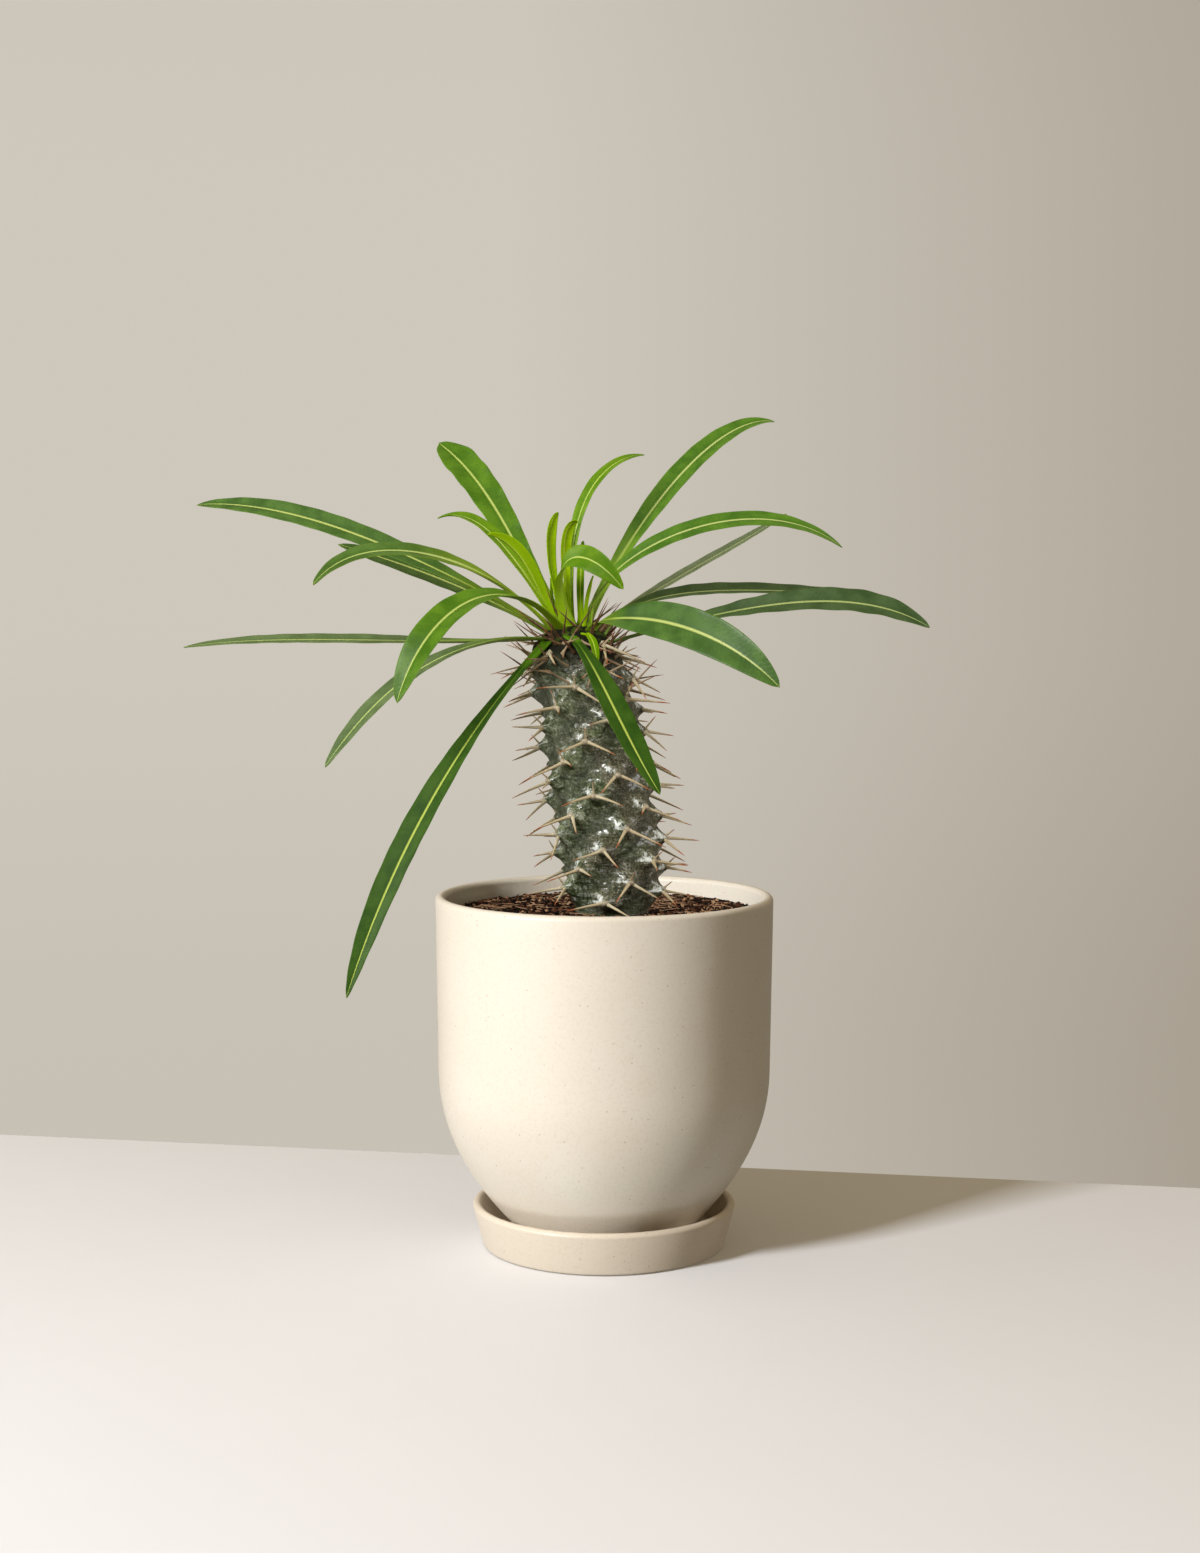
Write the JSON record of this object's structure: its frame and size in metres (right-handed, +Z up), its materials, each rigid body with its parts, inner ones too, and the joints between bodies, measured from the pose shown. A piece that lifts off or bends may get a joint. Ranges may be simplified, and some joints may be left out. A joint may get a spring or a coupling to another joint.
{
  "type": "potted madagascar palm",
  "caption": "Young spiny succulent with a leaning tuberculate stem and a crown of long narrow leaves, in a round glazed planter on its saucer.",
  "frame": {"origin": "centre of the saucer's flat underside, on the planter's axis", "axes": "+Z up along the planter's axis, -Y towards the side that the picture shows, +X to that side's right"},
  "size_m": [0.3288, 0.2016, 0.3736],
  "materials": {
    "saucer_glaze": "satin",
    "pot_glaze": "satin",
    "soil": "matte",
    "stem_bark": "satin",
    "leaf_green": "satin",
    "leaf_young": "satin"
  },
  "bodies": {
    "root": {"saucer": "saucer_glaze", "pot": "pot_glaze", "soil": "soil", "stem": "stem_bark", "leaf_01": "leaf_green", "leaf_02": "leaf_green", "leaf_03": "leaf_green", "leaf_04": "leaf_green", "leaf_05": "leaf_green", "leaf_06": "leaf_green", "leaf_07": "leaf_green", "leaf_08": "leaf_green", "leaf_09": "leaf_green", "leaf_10": "leaf_young", "leaf_11": "leaf_young", "leaf_12": "leaf_young", "leaf_13": "leaf_young", "leaf_14": "leaf_green", "leaf_15": "leaf_young", "leaf_16": "leaf_young", "leaf_17": "leaf_young", "leaf_18": "leaf_green", "leaf_19": "leaf_green", "leaf_20": "leaf_green", "leaf_21": "leaf_green", "leaf_22": "leaf_green", "leaf_23": "leaf_green", "leaf_24": "leaf_green", "leaf_25": "leaf_young", "leaf_26": "leaf_green", "leaf_27": "leaf_green", "leaf_28": "leaf_green"}
  },
  "joints": []
}
